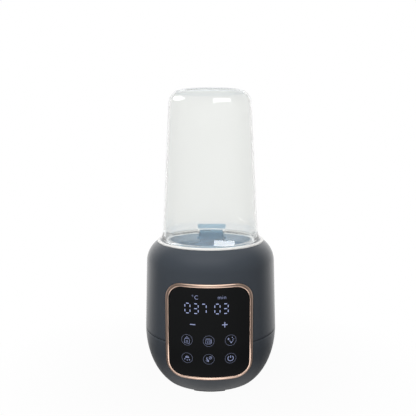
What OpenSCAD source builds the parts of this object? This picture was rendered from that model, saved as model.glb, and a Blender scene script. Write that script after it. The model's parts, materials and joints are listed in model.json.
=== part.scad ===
// Bottle warmer and sterilizer: a round body with a heated well, a lift-out basket and a steam cover.
// Millimetres, +Z up, origin on the floor under the middle of the body, control panel facing -Y.

/* [Body] */
// Diameter at the seam between the two housings
body_d = 130; // [128:1:138]
// Diameter where the shoulder begins
shoulder_d = 126; // [124:1:128]
// Diameter of the flat underside
base_d = 92.5; // [89:0.5:96]
// Height of the seam above the floor
seam_z = 52; // [50:1:56]
// Half height of the ellipse that the bowl follows
bowl_drop = 58; // [56:1:64]
// Height of the top face that the cover stands on
seat_z = 138; // [134:1:150]
// Outer diameter of the top face
seat_d = 105; // [104:0.5:108]
// Radius of the shoulder
shoulder_r = 24; // [20:1:26]
// Wall of the two housings
wall = 2.6; // [2.2:0.1:2.8]
// Thickness of the top face
top_t = 3; // [2.4:0.2:4]
// Reach of the lip that locates one housing in the other
lip_h = 3; // [2:0.5:4]

/* [Feet] */
// Height of the feet
foot_h = 1.5; // [1:0.25:3]
// Length of one foot around the base, in degrees
foot_span = 39; // [28:1:50]
// Radial width of one foot
foot_w = 12; // [8:0.5:13]

/* [Panel] */
// Width of the control panel, measured straight across
panel_w = 80.6; // [76:0.2:84]
// Height of the lower edge of the panel
panel_z = 17.7; // [16:0.1:19]
// Height of the panel
panel_h = 91.8; // [88:0.2:96]
// Radius of the panel's corners
panel_r = 16; // [13:0.5:20]
// Width of the bezel's frame
bezel_w = 3.2; // [2.8:0.1:4]
// How far the bezel stands out of the housing
bezel_out = 1; // [0.6:0.1:1.6]
// How far the lens stands out of the housing
glass_out = 0.3; // [0:0.1:0.5]
// Thickness of the lens
glass_t = 1.5; // [1.2:0.1:1.6]
// Width of the lit display
display_w = 46; // [40:1:48]
// Height of the lit display
display_h = 18; // [14:1:19]
// Height of the middle of the display above the floor
display_z = 88; // [86:0.5:90]
// Height of the row with the two setting keys
set_z = 72.6; // [71:0.2:73]
// Half distance between the two setting keys
set_x = 14.5; // [10:0.5:18]
// Height of the upper row of programme keys
key_z = 57.8; // [56:0.2:60]
// Distance between the two rows of programme keys
key_gap = 17.3; // [16:0.1:18]
// Distance between neighbouring programme keys
key_x = 19.8; // [17:0.2:20]
// Radius of one touch pad
pad_r = 2.8; // [2:0.1:3.2]

/* [Well] */
// Inner diameter of the well
well_d = 84; // [80:0.5:85]
// Wall of the liner
liner_t = 1.6; // [1.2:0.1:2]
// Width of the ledge that carries the basket
ledge_w = 6; // [4.5:0.5:8]
// Thickness of the heating plate
plate_t = 3; // [2.5:0.25:4]
// Thickness of the two seals
seal_t = 1; // [0.6:0.1:1.5]
// Radius of the ring heater
element_r = 26; // [22:0.5:27]
// Thickness of the ring heater
element_d = 7; // [5:0.5:8]
// Diameter of the thermostat
thermostat_d = 15; // [12:0.5:18]

/* [Inner frame] */
// Height of the frame's lower plate
frame_z = 24; // [23:0.25:25]
// Thickness of the frame's plate and ring
frame_t = 3; // [2.5:0.25:3.5]
// Height of the rib that presses on the heating plate
rib_h = 7; // [6:0.5:8]
// Direction of the housing bosses, from the side
boss_a = 32; // [28:1:36]
// Radius of a boss
boss_r = 4; // [3.5:0.25:4.5]
// Length of a boss
boss_h = 20; // [14:1:26]

/* [Power board] */
// Length of the power board
board_x = 64; // [62:0.5:65]
// Depth of the power board
board_y = 52; // [50:1:56]
// Thickness of the circuit boards
pcb_t = 1.6; // [1.2:0.2:2]
// Height of the standoffs on the floor
standoff_h = 4.4; // [3.5:0.1:5]

/* [Cord inlet] */
// Height of the inlet above the floor
gland_z = 30; // [29:0.5:32]
// Diameter of the cord that the gland takes
cord_d = 6.4; // [5:0.1:7]

/* [Basket] */
// Wall of the basket
basket_t = 1.6; // [1.2:0.1:2]
// Depth of the basket's rim below the top face
basket_drop = 11; // [8:0.5:16]
// Width of the basket's stem
stem_w = 24; // [18:1:26]
// Width of the grip
grip_w = 32; // [30:1:40]
// Height of the grip above the top face
grip_h = 6.6; // [5:0.2:9]
// Thickness of the stem's neck and of the grip
neck_t = 2; // [1.6:0.1:2.4]

/* [Cover] */
// Height of the cover above the top face
cover_h = 147; // [120:0.5:180]
// Outer diameter of the cover's wall at its foot
cover_d = 93.6; // [92.6:0.2:95]
// Slope of the cover's wall
cover_taper = 3.1; // [2:0.1:4]
// Wall of the cover
cover_t = 2; // [1.6:0.1:2.4]
// Radius of the cover's upper edge
crown_r = 13; // [8:0.5:15]
// Height of the flare down to the flange
flare_h = 8.5; // [6:0.5:10]
// Thickness of the flange
flange_t = 1.8; // [1.4:0.1:2]
// Depth of the ring that hangs in the well
spigot_h = 8.5; // [6:0.5:10]

/* [Hidden] */
$fn = 96;

// Clearances
fit = 0.2;
slide_fit = 0.4;
loose_fit = 0.8;
thread_fit = 0.05;
past = 1;

// Body outline
body_r = body_d / 2;
base_r = base_d / 2;
base_z = foot_h;
bowl_steps = 18;
shoulder_steps = 12;
bowl_from = acos((seam_z - base_z) / bowl_drop);
bowl_w = (body_r - base_r) / (1 - sin(bowl_from));
shoulder_to = acos((seat_d / 2 - shoulder_d / 2 + shoulder_r) / shoulder_r);
shoulder_z = seat_z - shoulder_r * sin(shoulder_to);
floor_z = base_z + wall;
far = 2 * body_d;

// Stack of the well, from the floor up
frame_top = frame_z + frame_t;
rib_top = frame_top + rib_h;
plate_top = rib_top + plate_t;
ledge_z = plate_top + seal_t;
ledge_top = ledge_z + liner_t;
well_r = well_d / 2;
liner_r = well_r + liner_t;
liner_top = seat_z - top_t - seal_t;
liner_neck = seat_z - fit / 2;
rim_r = liner_r + 4.4;
rib_r = well_r - 0.6;
rib_w = 5.4;
hole_r = rib_r - rib_w - 3;

// Thermostat and sensor
cap_h = 3;
cap_step = 1.5;
thermostat_h = 7;
tab_x = 3;
tab_w = 4;
tab_t = 0.8;
tab_h = 2.5;
sensor_r = 2.2;
sensor_h = 6;
sensor_gap = 4;

// Screws
screw_r = 1.5;
head_r = 2.8;
head_h = 1.8;
tower_r = 5;
tower_at = rib_r - rib_w / 2;
tower_seat = 14;

// Frame ring under the bosses
boss_gap = 2;
boss_z = seam_z + boss_gap;
ring_z = boss_z - frame_t;
lip_t = 1.4;
lip_r = body_r - wall - fit - lip_t;
ring_r = lip_r - loose_fit;
boss_at = ring_r - boss_r + 0.5;

// Panel layers, measured from the outside of the housing
glass_in = glass_t - glass_out;
bezel_in = glass_in + 0.1;
sill_in = bezel_in + 1.3;
sill_w = 2;
sill_edge = bezel_w - 0.8;
window_edge = sill_edge - fit;
carrier_in = sill_in + 0.1;
carrier_t = 1.7;
panel_top = panel_z + panel_h;

// Lower plate of the frame
frame_r = bowl_inside(frame_z, carrier_in + carrier_t) - loose_fit;
post_gap = 2;
post_r = (frame_r - liner_r) / 2 - post_gap;
post_at = (frame_r + liner_r) / 2;
post_angles = [0, 70, 110, 180];

// Display board and keys
layer_gap = 0.1;
board_in = carrier_in + carrier_t + layer_gap;
board_back = board_in + pcb_t;
pcb_margin = 5;
pcb_w = 2 * (key_x + pad_r + pcb_margin);
pcb_z = key_z - key_gap - pad_r - pcb_margin;
pcb_top = display_z + display_h / 2 + pcb_margin;
keys = [
  [-set_x, set_z],
  [set_x, set_z],
  [-key_x, key_z],
  [0, key_z],
  [key_x, key_z],
  [-key_x, key_z - key_gap],
  [0, key_z - key_gap],
  [key_x, key_z - key_gap]
];

// Power board and its parts
board_z = floor_z + standoff_h;
board_top = board_z + pcb_t;
board_edge = 4;
part_gap = 1.9;
part_h = frame_z - board_top - part_gap;
transformer_x = -16;
transformer_w = 18;
transformer_l = 16;
winding_w = 12;
winding_l = 22;
winding_gap = 2;
relay_x = 16;
relay_y = 4;
relay_w = 16;
relay_l = 12;
capacitor_r = 4.5;
capacitor_y = -14;
fuse_x = -15.5;
fuse_y = -16.5;
fuse_w = 15;
fuse_r = 2.5;
clip_t = 3;
clip_h = 6;
lead_r = 1.2;
lead_a = 20;
lead_x = element_r * sin(lead_a);
lead_y = element_r * cos(lead_a);
block_h = 8;
block_edge = 4.5;
pin_h = 2;
braze_t = 0.2;
element_low = rib_top - element_d;

// Flat cable
ribbon_w = 10;
ribbon_x = tower_r + ribbon_w / 2 + 2.5;
ribbon_t = 0.6;
plug_w = ribbon_w + 2;
plug_h = 5;
plug_back = 1;
plug_z = pcb_z + 1.5;
ribbon_z = frame_z - 2;
ribbon_front = bowl_inside(ribbon_z, carrier_in + carrier_t) - loose_fit;
ribbon_y = ribbon_t / 2 - sqrt(pow(ribbon_front, 2) - pow(ribbon_x + ribbon_w / 2, 2));
ribbon_gap = 2;
socket_h = 5;
socket_l = 5;
socket_y = -board_y / 2 + socket_l / 2 + 1;

// Cord inlet
recess_r = 9.5;
gland_face = bowl_radius(gland_z - recess_r) - fit * 2;
gland_boss_r = recess_r + 2;
gland_boss_t = 4.3;
gland_r = cord_d / 2 + 1.8;
gland_flange_r = recess_r - 1;
gland_flange_t = 2;
gland_end = body_r + bezel_out;
nut_r = 8;
nut_t = 3;

// Cover
flange_r = seat_d / 2 - fit / 2;
rim_w = 0.6;
flare_w = flange_r - cover_d / 2 - rim_w;
flare_from = 180 + atan(flare_h / flare_w * tan(cover_taper));
flange_top = seat_z + flange_t;
flare_z = flange_top + flare_h;
cover_top = seat_z + cover_h;
spigot_r = well_r - slide_fit;
spigot_t = 1.6;
spigot_in = spigot_r - spigot_t;
crown_z = cover_top - crown_r;
crown_x = wall_radius(crown_z + crown_r * sin(cover_taper)) - crown_r * cos(cover_taper);

// Basket
basket_r = spigot_in - loose_fit;
basket_in = basket_r - basket_t;
basket_foot = 2;
basket_floor = ledge_top + basket_foot;
basket_top = seat_z - basket_drop;
neck_z = seat_z + slide_fit;
neck_y = seat_d / 2 + slide_fit;
grip_lean = 3.5;
grip_round = 3;
notch_w = stem_w + 2;
notch_z = neck_z + neck_t + loose_fit;
slot_w = 14;
slot_angles = [0, 60, 120, 180, 240, 300];
slot_edge = 18;
slot_low = basket_floor + slot_edge;
slot_high = basket_top - slot_edge;

// Radius of the body's outside at a height below the seam
function bowl_radius(z) = body_r - bowl_w + bowl_w * sqrt(1 - pow((seam_z - z) / bowl_drop, 2));

// Slope of the bowl's outside at a height below the seam
function bowl_slope(z) =
  bowl_w * (seam_z - z) / (pow(bowl_drop, 2) * sqrt(1 - pow((seam_z - z) / bowl_drop, 2)));

// Radius at a height below the seam, at a depth under the bowl's outside
function bowl_inside(z, depth) = bowl_radius(z) - depth * norm([1, bowl_slope(z)]);

// Point of the bowl at angle t, moved out by d along the surface's normal
function bowl_point(t, d) =
  let (nr = sin(t) / bowl_w, nz = -cos(t) / bowl_drop, n = norm([nr, nz]))
  [body_r - bowl_w + bowl_w * sin(t) + d * nr / n, seam_z - bowl_drop * cos(t) + d * nz / n];

// Radius of the cover's outside at a height on its straight wall
function wall_radius(z) = cover_d / 2 - (z - flare_z) * tan(cover_taper);

// Points of an arc about c, from angle a to angle b
function arc(c, r, a, b, steps) =
  [for (i = [0:steps]) let (t = a + (b - a) * i / steps) [c[0] + r * cos(t), c[1] + r * sin(t)]];

// Half section of the body, moved out by d
module body_section(d) {
  bowl = [for (i = [0:bowl_steps]) bowl_point(bowl_from + (90 - bowl_from) * i / bowl_steps, d)];
  shoulder = arc([shoulder_d / 2 - shoulder_r, shoulder_z], shoulder_r + d, 0, shoulder_to, shoulder_steps);
  foot = [[0, bowl[0][1]]];
  crown = [[0, shoulder[shoulder_steps][1]]];
  polygon(concat(foot, bowl, shoulder, crown));
}

// Solid of the body, moved out by d
module body_solid(d) {
  rotate_extrude()
    body_section(d);
}

// Half section of the body between two heights
module section_between(d, low, high) {
  intersection() {
    body_section(d);
    translate([0, low])
      square([far, high - low]);
  }
}

// Ring about the vertical axis
module ring(r_in, r_out, low, high) {
  translate([0, 0, low])
    difference() {
      cylinder(r = r_out, h = high - low);
      translate([0, 0, -past])
        cylinder(r = r_in, h = high - low + 2 * past);
    }
}

// Cylinder lying along Y from y_from to y_to
module rod(x, z, r, y_from, y_to) {
  translate([x, y_from, z])
    rotate([-90, 0, 0])
      cylinder(r = r, h = y_to - y_from);
}

// Block between two corners
module block(low, high) {
  translate(low)
    cube(high - low);
}

// Outline of the panel, drawn in by the inset
module panel_outline(inset) {
  w = panel_w / 2 - inset;
  low = panel_z + inset;
  high = panel_top - inset;
  r = panel_r - inset;
  steps = 10;
  polygon(concat(
    arc([w - r, low + r], r, -90, 0, steps),
    arc([w - r, high - r], r, 0, 90, steps),
    arc([r - w, high - r], r, 90, 180, steps),
    arc([r - w, low + r], r, 180, 270, steps)
  ));
}

// Straight prism of the panel's outline through the front of the body
module panel_prism(inset) {
  rotate([90, 0, 0])
    linear_extrude(height = body_d)
      panel_outline(inset);
}

// Layer of the body from depth low to depth high, both counted outward from the housing
module body_layer(low, high) {
  difference() {
    body_solid(high);
    body_solid(low);
  }
}

// Layer of the panel from depth low to depth high, both counted outward from the housing
module panel_layer(low, high, inset) {
  intersection() {
    body_layer(low, high);
    panel_prism(inset);
  }
}

// Recess and window of the panel in a housing
module panel_cut() {
  difference() {
    panel_prism(-fit);
    body_solid(-bezel_in - fit);
  }
  panel_prism(window_edge);
}

// Places around the axis for the feet and the base screws
module quarters() {
  for (a = [0, 90, 180, 270])
    rotate([0, 0, a])
      children();
}

// Places of the housing bosses
module at_bosses() {
  for (a = [boss_a, 180 - boss_a, 180 + boss_a, 360 - boss_a])
    rotate([0, 0, a])
      translate([boss_at, 0, 0])
        children();
}

// Places of the screws of the power board
module at_board_corners() {
  for (x = [-1, 1], y = [-1, 1])
    translate([x * (board_x / 2 - board_edge), y * (board_y / 2 - board_edge), 0])
      children();
}

module upper_housing() {
  color([0.16, 0.18, 0.21])
    difference() {
      union() {
        rotate_extrude()
          difference() {
            section_between(0, seam_z, seat_z);
            section_between(-wall, seam_z - past, seat_z - top_t);
            square([liner_r + fit, seat_z + past]);
          }
        ring(lip_r, body_r - wall - fit, seam_z - lip_h, seam_z + fit);
        ring(lip_r, body_r - wall + fit, seam_z + fit, seam_z + boss_gap + fit);
        at_bosses()
          translate([0, 0, boss_z])
            cylinder(r = boss_r, h = boss_h);
        at_bosses()
          block([0, -boss_r / 2, boss_z], [body_r - boss_at - wall / 2 - fit, boss_r / 2, boss_z + boss_h]);
      }
      panel_cut();
      at_bosses()
        translate([0, 0, boss_z - past])
          cylinder(r = screw_r + thread_fit, h = boss_h - 4 + past);
    }
}

module lower_housing() {
  color([0.16, 0.18, 0.21])
    difference() {
      union() {
        rotate_extrude()
          difference() {
            section_between(0, base_z, seam_z);
            section_between(-wall, floor_z, seam_z + past);
          }
        quarters()
          translate([tower_at, 0, base_z + wall / 2])
            cylinder(r = tower_r, h = frame_z - base_z - wall / 2);
        at_board_corners()
          translate([0, 0, base_z + wall / 2])
            cylinder(r = board_edge - 0.5, h = board_z - base_z - wall / 2);
        intersection() {
          rod(0, gland_z, gland_boss_r, gland_face - gland_boss_t, body_r);
          body_solid(-wall / 4);
        }
      }
      panel_cut();
      quarters()
        translate([tower_at, 0, 0]) {
          cylinder(r = screw_r + fit, h = frame_z + past);
          cylinder(r = head_r + fit, h = tower_seat);
        }
      at_board_corners()
        translate([0, 0, floor_z])
          cylinder(r = screw_r + thread_fit, h = board_z);
      rod(0, gland_z, recess_r, gland_face, body_r + past);
      rod(0, gland_z, gland_r + fit, liner_r, body_r + past);
    }
}

module rubber_feet() {
  color([0.1, 0.1, 0.11])
    quarters()
      union() {
        rotate([0, 0, -foot_span / 2])
          rotate_extrude(angle = foot_span)
            translate([tower_at - foot_w / 2, 0])
              square([foot_w, foot_h]);
        translate([tower_at, 0, foot_h / 2])
          cylinder(r = head_r, h = foot_h / 2 + wall);
      }
}

module panel_bezel() {
  color([0.86, 0.63, 0.52])
    difference() {
      union() {
        panel_layer(-bezel_in, bezel_out, 0);
        panel_layer(-sill_in, bezel_out / 2, sill_edge);
      }
      difference() {
        panel_prism(bezel_w);
        body_solid(-bezel_in);
      }
      panel_prism(bezel_w + sill_w);
    }
}

module touch_glass() {
  color([0.03, 0.03, 0.035])
    panel_layer(-glass_in, glass_out, bezel_w + fit);
}

module panel_carrier() {
  color([0.75, 0.75, 0.72])
    difference() {
      panel_layer(-carrier_in - carrier_t, -carrier_in, sill_edge + fit);
      block(
        [-display_w / 2 - fit, -body_d, display_z - display_h / 2 - fit],
        [display_w / 2 + fit, -past, display_z + display_h / 2 + fit]
      );
      for (key = keys)
        rod(key[0], key[1], pad_r + fit, -body_d, -past);
    }
}

module display_board() {
  color([0.05, 0.25, 0.14])
    intersection() {
      body_layer(-board_back, -board_in);
      block([-pcb_w / 2, -body_d, pcb_z], [pcb_w / 2, -past, pcb_top]);
    }
}

module display_module() {
  color([0.08, 0.08, 0.09])
    intersection() {
      body_layer(-board_in, -glass_in - layer_gap);
      block(
        [-display_w / 2, -body_d, display_z - display_h / 2],
        [display_w / 2, -past, display_z + display_h / 2]
      );
    }
}

module touch_pads() {
  color([0.3, 0.3, 0.32])
    intersection() {
      body_layer(-board_in, -glass_in - layer_gap);
      for (key = keys)
        rod(key[0], key[1], pad_r, -body_d, -past);
    }
}

module display_ribbon() {
  socket_top = board_top + socket_h;
  color([0.62, 0.62, 0.6])
    union() {
      intersection() {
        block(
          [ribbon_x - plug_w / 2, -body_d, plug_z],
          [ribbon_x + plug_w / 2, ribbon_y + plug_back, plug_z + plug_h]
        );
        body_solid(-board_back - layer_gap);
      }
      translate([ribbon_x - ribbon_w / 2, 0, 0])
        rotate([90, 0, 90])
          linear_extrude(height = ribbon_w)
            polygon([
              [ribbon_y - ribbon_t / 2, plug_z + plug_h / 2],
              [ribbon_y - ribbon_t / 2, ribbon_z],
              [socket_y - socket_l / 2, socket_top],
              [socket_y, socket_top],
              [socket_y, socket_top + ribbon_t],
              [ribbon_y + ribbon_t / 2, ribbon_z + ribbon_t],
              [ribbon_y + ribbon_t / 2, plug_z + plug_h / 2]
            ]);
    }
}

module chamber_liner() {
  color([0.2, 0.25, 0.31])
    rotate_extrude()
      polygon([
        [well_r, liner_neck],
        [liner_r, liner_neck],
        [liner_r, liner_top],
        [rim_r, liner_top],
        [rim_r, liner_top - liner_t],
        [liner_r, liner_top - liner_t],
        [liner_r, frame_top + fit],
        [well_r, frame_top + fit],
        [well_r, ledge_z],
        [well_r - ledge_w, ledge_z],
        [well_r - ledge_w, ledge_top],
        [well_r, ledge_top]
      ]);
}

module rim_gasket() {
  color([0.85, 0.85, 0.83])
    ring(liner_r + loose_fit, rim_r - loose_fit, liner_top, liner_top + seal_t);
}

module heating_plate() {
  color([0.72, 0.73, 0.75])
    translate([0, 0, rib_top])
      cylinder(r = well_r - fit, h = plate_t);
}

module plate_seal() {
  color([0.85, 0.85, 0.83])
    ring(well_r - ledge_w + fit, well_r - loose_fit, plate_top, ledge_z);
}

module heating_element() {
  color([0.55, 0.55, 0.57])
    union() {
      rotate([0, 0, 90 + lead_a])
        rotate_extrude(angle = 360 - 2 * lead_a)
          translate([element_r, rib_top - element_d / 2]) {
            circle(r = element_d / 2 - braze_t);
            translate([-element_d / 4, 0])
              square([element_d / 2, element_d / 2]);
          }
      for (x = [-1, 1])
        rotate([0, 0, 90 + x * lead_a])
          translate([element_r, 0, element_low - pin_h])
            cylinder(r = lead_r + fit, h = element_d / 2 + pin_h);
    }
}

module element_leads() {
  color([0.65, 0.1, 0.08])
    for (x = [-1, 1])
      translate([x * lead_x, lead_y, board_top + block_h])
        cylinder(r = lead_r, h = element_low - pin_h - board_top - block_h);
}

module thermostat() {
  color([0.2, 0.2, 0.2])
    translate([0, 0, rib_top])
      union() {
        translate([0, 0, -cap_h])
          cylinder(r = thermostat_d / 2, h = cap_h);
        translate([0, 0, -thermostat_h])
          cylinder(r = thermostat_d / 2 - cap_step, h = thermostat_h);
        for (x = [-tab_x, tab_x])
          block([x - tab_t / 2, -tab_w / 2, -thermostat_h - tab_h], [x + tab_t / 2, tab_w / 2, -cap_h]);
      }
}

module temperature_sensor() {
  color([0.78, 0.6, 0.3])
    translate([0, -thermostat_d / 2 - sensor_gap, rib_top - sensor_h])
      cylinder(r = sensor_r, h = sensor_h);
}

module inner_frame() {
  color([0.32, 0.34, 0.37])
    difference() {
      union() {
        ring(hole_r, frame_r, frame_z, frame_top);
        ring(rib_r - rib_w, rib_r, frame_z, rib_top);
        ring(liner_r + loose_fit, ring_r, ring_z, boss_z);
        for (a = post_angles)
          rotate([0, 0, a])
            translate([post_at, 0, frame_z])
              cylinder(r = post_r, h = boss_z - frame_z);
      }
      block([-panel_w / 2, -body_d, frame_top + past], [panel_w / 2, -rib_r, boss_z + past]);
      block(
        [ribbon_x - ribbon_w / 2 - ribbon_gap, -body_d, 0],
        [ribbon_x + ribbon_w / 2 + ribbon_gap, ribbon_y + ribbon_gap, frame_top + past]
      );
      block(
        [-nut_r - 2, gland_face - gland_boss_t - nut_t - 2, 0],
        [nut_r + 2, body_d, frame_top + past]
      );
      at_bosses()
        translate([0, 0, ring_z - past])
          cylinder(r = screw_r + fit, h = frame_t + 2 * past);
      quarters()
        translate([tower_at, 0, 0])
          cylinder(r = screw_r + thread_fit, h = rib_top - 2);
    }
}

module frame_screws() {
  color([0.7, 0.71, 0.73])
    at_bosses()
      translate([0, 0, ring_z - head_h])
        union() {
          cylinder(r = head_r, h = head_h);
          cylinder(r = screw_r, h = head_h + frame_t + boss_h / 2);
        }
}

module base_screws() {
  color([0.7, 0.71, 0.73])
    quarters()
      translate([tower_at, 0, tower_seat - head_h])
        union() {
          cylinder(r = head_r, h = head_h);
          cylinder(r = screw_r, h = head_h + rib_top - 3 - tower_seat);
        }
}

module power_board() {
  color([0.05, 0.25, 0.14])
    difference() {
      block([-board_x / 2, -board_y / 2, board_z], [board_x / 2, board_y / 2, board_top]);
      at_board_corners()
        translate([0, 0, board_z - past])
          cylinder(r = screw_r + fit, h = pcb_t + 2 * past);
    }
}

module transformer() {
  color([0.75, 0.65, 0.2])
    translate([transformer_x, 0, board_top])
      union() {
        block([-transformer_w / 2, -transformer_l / 2, 0], [transformer_w / 2, transformer_l / 2, part_h]);
        block(
          [-winding_w / 2, -winding_l / 2, winding_gap],
          [winding_w / 2, winding_l / 2, part_h - winding_gap]
        );
      }
}

module relay() {
  color([0.1, 0.2, 0.5])
    translate([relay_x, relay_y, board_top])
      block([-relay_w / 2, -relay_l / 2, 0], [relay_w / 2, relay_l / 2, part_h - past]);
}

module capacitor() {
  color([0.15, 0.15, 0.3])
    translate([0, capacitor_y, board_top])
      cylinder(r = capacitor_r, h = part_h);
}

module fuse() {
  color([0.8, 0.8, 0.78])
    translate([fuse_x, fuse_y, board_top])
      union() {
        translate([-fuse_w / 2, 0, clip_h / 2])
          rotate([0, 90, 0])
            cylinder(r = fuse_r, h = fuse_w);
        for (x = [-fuse_w / 2, fuse_w / 2 - clip_t])
          block([x, -clip_h / 2, 0], [x + clip_t, clip_h / 2, clip_h]);
      }
}

module ribbon_socket() {
  color([0.9, 0.9, 0.86])
    block(
      [ribbon_x - plug_w / 2, socket_y - socket_l / 2, board_top],
      [ribbon_x + plug_w / 2, socket_y + socket_l / 2, board_top + socket_h]
    );
}

module terminal_block() {
  color([0.2, 0.45, 0.25])
    block(
      [-lead_x - block_edge, lead_y - block_edge, board_top],
      [lead_x + block_edge, lead_y + lead_r, board_top + block_h]
    );
}

module board_screws() {
  color([0.7, 0.71, 0.73])
    at_board_corners()
      union() {
        translate([0, 0, board_top])
          cylinder(r = head_r, h = head_h);
        translate([0, 0, floor_z + 0.5])
          cylinder(r = screw_r, h = board_top + head_h / 2 - floor_z - 0.5);
      }
}

module cord_gland() {
  color([0.1, 0.1, 0.11])
    difference() {
      union() {
        rod(0, gland_z, gland_flange_r, gland_face, gland_face + gland_flange_t);
        rod(0, gland_z, gland_r, gland_face - gland_boss_t - nut_t - past, gland_end);
      }
      rod(0, gland_z, cord_d / 2, liner_r, gland_end + past);
    }
}

module gland_nut() {
  color([0.1, 0.1, 0.11])
    difference() {
      translate([0, gland_face - gland_boss_t - nut_t, gland_z])
        rotate([-90, 0, 0])
          cylinder(r = nut_r, h = nut_t, $fn = 6);
      rod(0, gland_z, gland_r + thread_fit, liner_r, body_r);
    }
}

module bottle_basket() {
  color([0.24, 0.31, 0.39])
    union() {
      difference() {
        union() {
          ring(basket_in, basket_r, ledge_top, basket_top);
          translate([0, 0, basket_floor])
            cylinder(r = basket_in + basket_t / 2, h = basket_t);
        }
        translate([0, 0, basket_floor - past])
          cylinder(r = 6, h = basket_t + 2 * past);
        for (a = slot_angles)
          rotate([0, 0, a]) {
            translate([basket_in * 0.58, 0, basket_floor - past])
              cylinder(r = 5, h = basket_t + 2 * past);
            block([basket_in / 2, -slot_w / 2, slot_low], [far, slot_w / 2, slot_high]);
            for (z = [slot_low, slot_high])
              translate([basket_in / 2, 0, z])
                rotate([0, 90, 0])
                  cylinder(r = slot_w / 2, h = far);
          }
      }
      intersection() {
        ring(basket_in, basket_r, basket_top - past, neck_z + neck_t);
        block([-stem_w / 2, 0, 0], [stem_w / 2, far, far]);
      }
      block([-stem_w / 2, basket_in, neck_z], [stem_w / 2, neck_y + neck_t / 2, neck_z + neck_t]);
      grip();
    }
}

// Grip of the basket outside the cover, leaning back, with rounded upper corners
module grip() {
  top = seat_z + grip_h;
  intersection() {
    translate([-grip_w / 2, 0, 0])
      rotate([90, 0, 90])
        linear_extrude(height = grip_w)
          polygon([
            [neck_y, neck_z],
            [neck_y + neck_t, neck_z],
            [neck_y + neck_t + grip_lean, top],
            [neck_y + grip_lean, top],
            [neck_y, neck_z + neck_t]
          ]);
    rotate([90, 0, 180])
      linear_extrude(height = far)
        polygon(concat(
          arc([grip_w / 2 - grip_round, top - grip_round], grip_round, 0, 90, 8),
          arc([grip_round - grip_w / 2, top - grip_round], grip_round, 90, 180, 8),
          [[-grip_w / 2, 0], [grip_w / 2, 0]]
        ));
  }
}

module sterilizing_cover() {
  outside = concat(
    [[0, cover_top]],
    arc([crown_x, crown_z], crown_r, 90, cover_taper, 10),
    [for (i = [0:10]) let (t = flare_from + (270 - flare_from) * i / 10)
      [cover_d / 2 + flare_w + flare_w * cos(t), flare_z + flare_h * sin(t)]],
    [[flange_r, flange_top], [flange_r, seat_z], [spigot_r, seat_z], [spigot_r, seat_z - spigot_h]]
  );
  inside = concat(
    [[spigot_in, seat_z - spigot_h], [spigot_in, flange_top], [wall_radius(flange_top) - cover_t, flange_top]],
    arc([crown_x, crown_z], crown_r - cover_t, cover_taper, 90, 10),
    [[0, cover_top - cover_t]]
  );
  color([0.9, 0.92, 0.92, 0.5])
    difference() {
      rotate_extrude()
        polygon(concat(outside, inside));
      block([-notch_w / 2, 0, 0], [notch_w / 2, far, notch_z]);
    }
}

upper_housing();
lower_housing();
rubber_feet();
panel_bezel();
touch_glass();
panel_carrier();
display_board();
display_module();
touch_pads();
display_ribbon();
chamber_liner();
rim_gasket();
heating_plate();
plate_seal();
heating_element();
element_leads();
thermostat();
temperature_sensor();
inner_frame();
frame_screws();
base_screws();
power_board();
transformer();
relay();
capacitor();
fuse();
ribbon_socket();
terminal_block();
board_screws();
cord_gland();
gland_nut();
bottle_basket();
sterilizing_cover();
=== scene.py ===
import json
import math

import bmesh
import bpy
from mathutils import Matrix, Vector

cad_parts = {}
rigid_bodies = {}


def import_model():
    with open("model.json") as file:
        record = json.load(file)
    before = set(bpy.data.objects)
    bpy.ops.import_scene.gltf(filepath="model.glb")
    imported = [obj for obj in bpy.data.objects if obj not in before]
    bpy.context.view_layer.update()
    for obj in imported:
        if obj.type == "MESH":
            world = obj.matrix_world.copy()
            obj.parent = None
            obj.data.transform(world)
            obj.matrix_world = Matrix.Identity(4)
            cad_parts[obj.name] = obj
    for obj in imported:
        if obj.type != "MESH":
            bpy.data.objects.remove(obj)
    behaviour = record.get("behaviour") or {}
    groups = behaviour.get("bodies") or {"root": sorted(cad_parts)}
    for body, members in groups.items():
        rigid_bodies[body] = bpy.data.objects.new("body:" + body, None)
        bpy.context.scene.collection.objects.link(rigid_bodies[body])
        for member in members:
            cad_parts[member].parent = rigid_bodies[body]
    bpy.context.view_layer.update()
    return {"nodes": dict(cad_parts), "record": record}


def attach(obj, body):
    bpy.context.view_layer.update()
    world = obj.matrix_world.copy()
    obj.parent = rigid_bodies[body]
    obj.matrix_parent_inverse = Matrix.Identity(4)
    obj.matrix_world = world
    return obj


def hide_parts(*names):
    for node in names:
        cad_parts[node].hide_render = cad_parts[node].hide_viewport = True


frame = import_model()
scene = bpy.context.scene
scene.view_settings.view_transform = "Standard"
print("frame loaded:", len(frame["nodes"]), "nodes")

# camera at the photograph's viewing angle: metres, degrees, and millimetres for lens and sensor
cameraSet = {"place": (0.01533, -0.56304, 0.24623), "tilt": 82.3, "roll": 0.2, "turn": 1.76,
             "lens": 49.86, "sensor": 36}


def placeCamera(settings):
    data = bpy.data.cameras.new("camera")
    data.lens = settings["lens"]
    data.sensor_width = settings["sensor"]
    camera = bpy.data.objects.new("camera", data)
    camera.location = settings["place"]
    camera.rotation_euler = [math.radians(settings[key]) for key in ("tilt", "roll", "turn")]
    scene.collection.objects.link(camera)
    scene.camera = camera


placeCamera(cameraSet)

# pieces are modelled in millimetres and scaled to metres when they are finished; angles in
# degrees: shading is sharp past sharp, edges are softened past crease or, on blocks, past corner
modelling = {"unit": 0.001, "merge": 0.0005, "same": 1e-4, "around": 192, "rodAround": 64,
             "sharp": 32, "crease": 40, "corner": 60}


def spread(low, high, count):
    return [low + (high - low) * i / count for i in range(count + 1)]


def arcPoints(centre, radius, start, end, count):
    angles = [math.radians(a) for a in spread(start, end, count)]
    return [(centre[0] + radius * math.cos(a), centre[1] + radius * math.sin(a)) for a in angles]


def rectangle(left, right, bottom, top):
    return [(left, bottom), (right, bottom), (right, top), (left, top)]


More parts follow.
